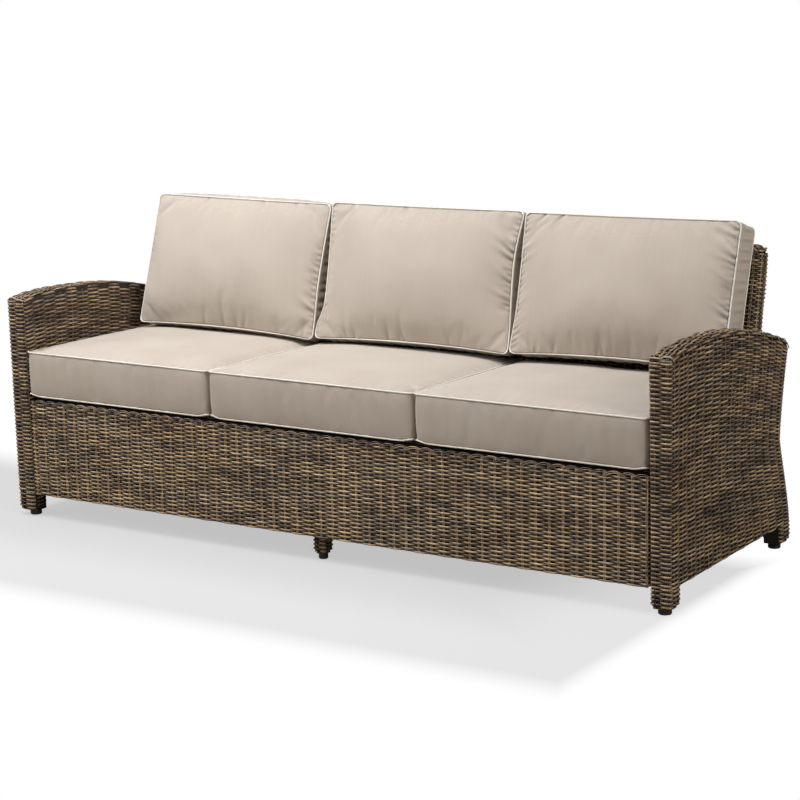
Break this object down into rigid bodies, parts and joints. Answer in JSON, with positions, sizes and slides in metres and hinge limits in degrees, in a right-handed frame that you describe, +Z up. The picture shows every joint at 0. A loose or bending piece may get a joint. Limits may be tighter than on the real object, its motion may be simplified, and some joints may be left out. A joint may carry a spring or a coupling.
{
  "type": "rattan garden sofa",
  "caption": "Garden sofa of woven synthetic rattan over a tube frame, with arched arms and loose piped seat and back cushions.",
  "frame": {"origin": "on the floor, in the middle of the sofa's width and depth", "axes": "+X to the right in a front view, along the sofa's length; +Y from the front to the back; +Z up"},
  "size_m": [1.956, 0.6819, 0.827],
  "materials": {
    "woven_resin": "woven, semi-matt",
    "tube_paint": "powder-coated, satin",
    "cushion_fabric": "woven, matt",
    "glide_plastic": "moulded, satin",
    "bolt_steel": "zinc plated"
  },
  "bodies": {
    "base": {"back_bolt_1": "bolt_steel", "back_bolt_2": "bolt_steel", "back_bolt_3": "bolt_steel", "back_bolt_4": "bolt_steel", "back_bottom_rail": "tube_paint", "back_left_stile": "tube_paint", "back_left_upright": "tube_paint", "back_right_stile": "tube_paint", "back_right_upright": "tube_paint", "back_top_rail": "tube_paint", "back_weave": "woven_resin", "front_apron_lower_rail": "tube_paint", "front_apron_top_rail": "tube_paint", "front_apron_weave": "woven_resin", "front_middle_glide": "glide_plastic", "front_middle_leg_weave": "woven_resin", "front_middle_post": "tube_paint", "left_arm_bottom_rail": "tube_paint", "left_arm_front_bolt": "bolt_steel", "left_arm_front_post": "tube_paint", "left_arm_rear_bolt": "bolt_steel", "left_arm_rear_post": "tube_paint", "left_arm_seat_rail": "tube_paint", "left_arm_top_rail": "tube_paint", "left_arm_weave": "woven_resin", "left_front_glide": "glide_plastic", "left_front_leg_weave": "woven_resin", "left_rear_glide": "glide_plastic", "left_rear_leg_weave": "woven_resin", "rear_apron_lower_rail": "tube_paint", "rear_apron_weave": "woven_resin", "rear_middle_glide": "glide_plastic", "rear_middle_leg_weave": "woven_resin", "rear_middle_post": "tube_paint", "right_arm_bottom_rail": "tube_paint", "right_arm_front_bolt": "bolt_steel", "right_arm_front_post": "tube_paint", "right_arm_rear_bolt": "bolt_steel", "right_arm_rear_post": "tube_paint", "right_arm_seat_rail": "tube_paint", "right_arm_top_rail": "tube_paint", "right_arm_weave": "woven_resin", "right_front_glide": "glide_plastic", "right_front_leg_weave": "woven_resin", "right_rear_glide": "glide_plastic", "right_rear_leg_weave": "woven_resin", "seat_deck_weave": "woven_resin", "seat_front_rail": "tube_paint", "seat_left_cross_bar": "tube_paint", "seat_left_rail": "tube_paint", "seat_middle_cross_bar": "tube_paint", "seat_rear_rail": "tube_paint", "seat_right_cross_bar": "tube_paint", "seat_right_rail": "tube_paint"},
    "left_back_cushion": {"left_back_cushion": "cushion_fabric"},
    "left_seat_cushion": {"left_seat_cushion": "cushion_fabric"},
    "middle_back_cushion": {"middle_back_cushion": "cushion_fabric"},
    "middle_seat_cushion": {"middle_seat_cushion": "cushion_fabric"},
    "right_back_cushion": {"right_back_cushion": "cushion_fabric"},
    "right_seat_cushion": {"right_seat_cushion": "cushion_fabric"}
  },
  "joints": [
    {"name": "left_back_cushion_lift", "type": "slide", "parent": "base", "child": "left_back_cushion", "axis": [0, 0, 1], "range_m": [0, 0.3]},
    {"name": "left_seat_cushion_slide", "type": "slide", "parent": "base", "child": "left_seat_cushion", "axis": [0, -1, 0], "range_m": [0, 0.25]},
    {"name": "middle_back_cushion_lift", "type": "slide", "parent": "base", "child": "middle_back_cushion", "axis": [0, 0, 1], "range_m": [0, 0.3]},
    {"name": "middle_seat_cushion_slide", "type": "slide", "parent": "base", "child": "middle_seat_cushion", "axis": [0, -1, 0], "range_m": [0, 0.25]},
    {"name": "right_back_cushion_lift", "type": "slide", "parent": "base", "child": "right_back_cushion", "axis": [0, 0, 1], "range_m": [0, 0.3]},
    {"name": "right_seat_cushion_slide", "type": "slide", "parent": "base", "child": "right_seat_cushion", "axis": [0, -1, 0], "range_m": [0, 0.25]}
  ]
}
